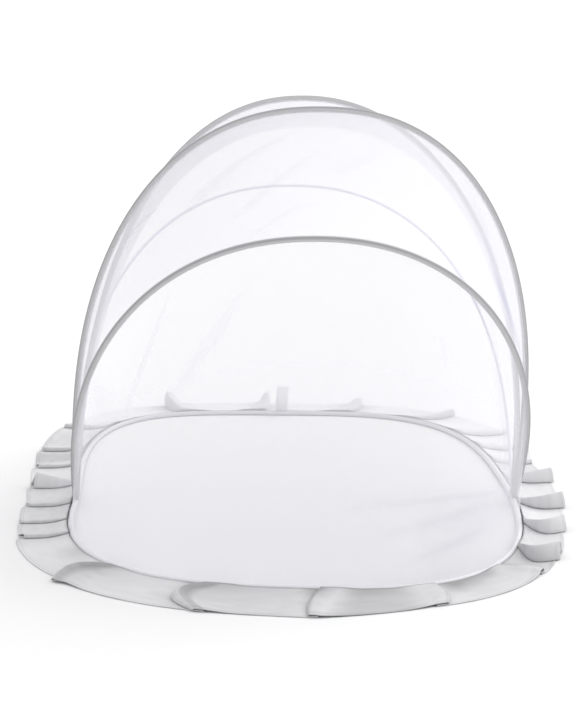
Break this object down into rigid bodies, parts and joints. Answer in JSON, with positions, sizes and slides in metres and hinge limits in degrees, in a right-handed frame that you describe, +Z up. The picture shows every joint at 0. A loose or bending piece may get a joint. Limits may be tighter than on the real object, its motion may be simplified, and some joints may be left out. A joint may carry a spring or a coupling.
{
  "type": "mosquito net canopy with folding hoop frame",
  "caption": "Folding net dome of sheer white mesh on wire hoops that fan out from an oval ground ring, with a pleated cloth skirt round its foot.",
  "frame": {"origin": "on the ground, under the middle of the whole canopy with its skirt", "axes": "+Z up; +X to the right as seen from the front; +Y from the front to the rear, along the ground ring"},
  "size_m": [0.8195, 1.3377, 0.609],
  "materials": {
    "grey_binding": "fine twill tape, folded over wire, matt",
    "pale_binding": "thin pale tape, folded over wire, matt",
    "white_net": "sheer knitted net with a faint lavender tint",
    "skirt_cloth": "plain woven cloth, matt, with a stitched hem",
    "white_tape": "narrow white webbing, matt"
  },
  "bodies": {
    "root": {"ground_ring": "grey_binding", "hoop_front": "grey_binding", "hoop_middle_front": "grey_binding", "hoop_middle_rear": "grey_binding", "hoop_rear": "pale_binding", "net_front": "white_net", "net_front_top": "white_net", "net_top": "white_net", "net_rear_top": "white_net", "net_rear": "white_net", "skirt": "skirt_cloth", "pull_tape": "white_tape"}
  },
  "joints": []
}
